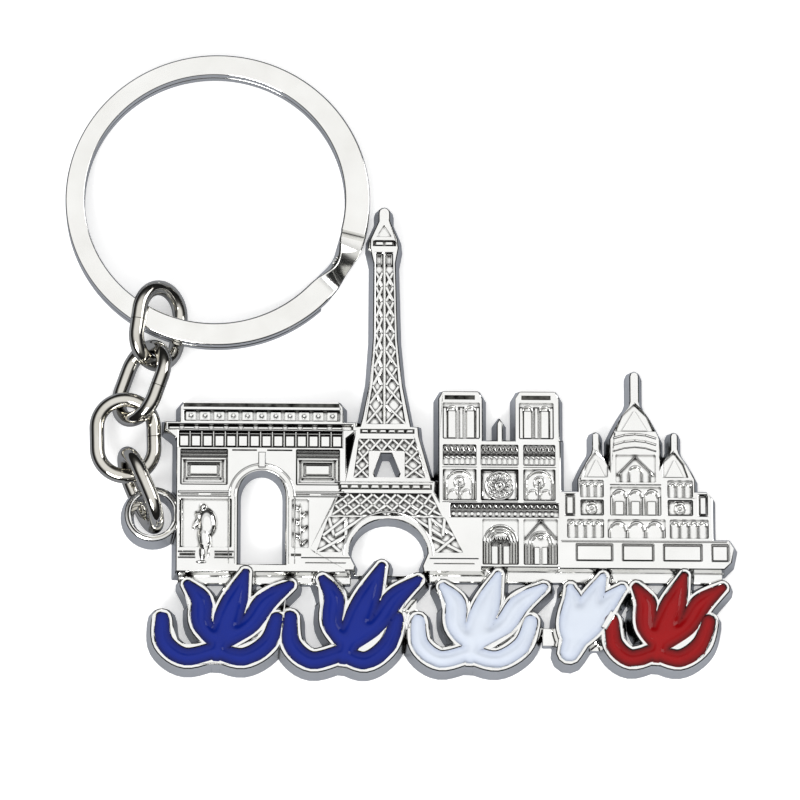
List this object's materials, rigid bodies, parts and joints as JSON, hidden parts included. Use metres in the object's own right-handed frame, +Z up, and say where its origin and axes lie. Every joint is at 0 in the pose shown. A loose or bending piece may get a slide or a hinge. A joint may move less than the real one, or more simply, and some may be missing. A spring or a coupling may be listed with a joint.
{
  "type": "souvenir keychain",
  "caption": "Cast relief landmark plate with enamelled lilies, hung from a split ring by a short oval-link chain.",
  "frame": {"origin": "centre of the keychain's footprint, on the surface that it lies on", "axes": "+X along the relief plate from the arch to the basilica, +Y from the plate towards the split ring, +Z up out of the plate's front"},
  "size_m": [0.066, 0.0629, 0.0069],
  "materials": {
    "plated_casting": "bright nickel plated die-cast zinc, polished",
    "enamel_blue": "glossy deep blue soft enamel",
    "enamel_white": "glossy cool white soft enamel",
    "enamel_red": "glossy deep red soft enamel",
    "plated_wire": "bright nickel plated steel wire",
    "ring_steel": "nickel plated spring steel, stamped flat band"
  },
  "bodies": {
    "charm": {"charm_casting": "plated_casting", "enamel_blue_1": "enamel_blue", "enamel_blue_2": "enamel_blue", "enamel_white_1": "enamel_white", "enamel_white_2": "enamel_white", "enamel_red": "enamel_red"},
    "link_1": {"chain_link_1": "plated_wire"},
    "link_2": {"chain_link_2": "plated_wire"},
    "link_3": {"chain_link_3": "plated_wire"},
    "link_4": {"chain_link_4": "plated_wire"},
    "ring": {"split_ring": "ring_steel"}
  },
  "joints": [
    {"name": "eye_swing", "type": "hinge", "parent": "charm", "child": "link_1", "pos_m": [-0.02406, -0.01546, 0.00286], "axis": [0, 0, 1], "range_deg": [0, 90]},
    {"name": "link_1_swing", "type": "hinge", "parent": "link_1", "child": "link_2", "pos_m": [-0.02676, -0.00948, 0.00343], "axis": [0, 0, 1], "range_deg": [0, 60]},
    {"name": "link_2_roll", "type": "hinge", "parent": "link_2", "child": "link_3", "pos_m": [-0.0268, -0.00361, 0.0024], "axis": [0, -1, 0], "range_deg": [0, 45]},
    {"name": "link_3_lift", "type": "hinge", "parent": "link_3", "child": "link_4", "pos_m": [-0.024, 0.00146, 0.00304], "axis": [0.6232, -0.2597, 0.7377], "range_deg": [0, 60]},
    {"name": "ring_turn", "type": "hinge", "parent": "link_4", "child": "ring", "pos_m": [-0.01796, 0.01642, 0.00187], "axis": [0.0237, 0.0523, 0.9984], "continuous": true}
  ]
}
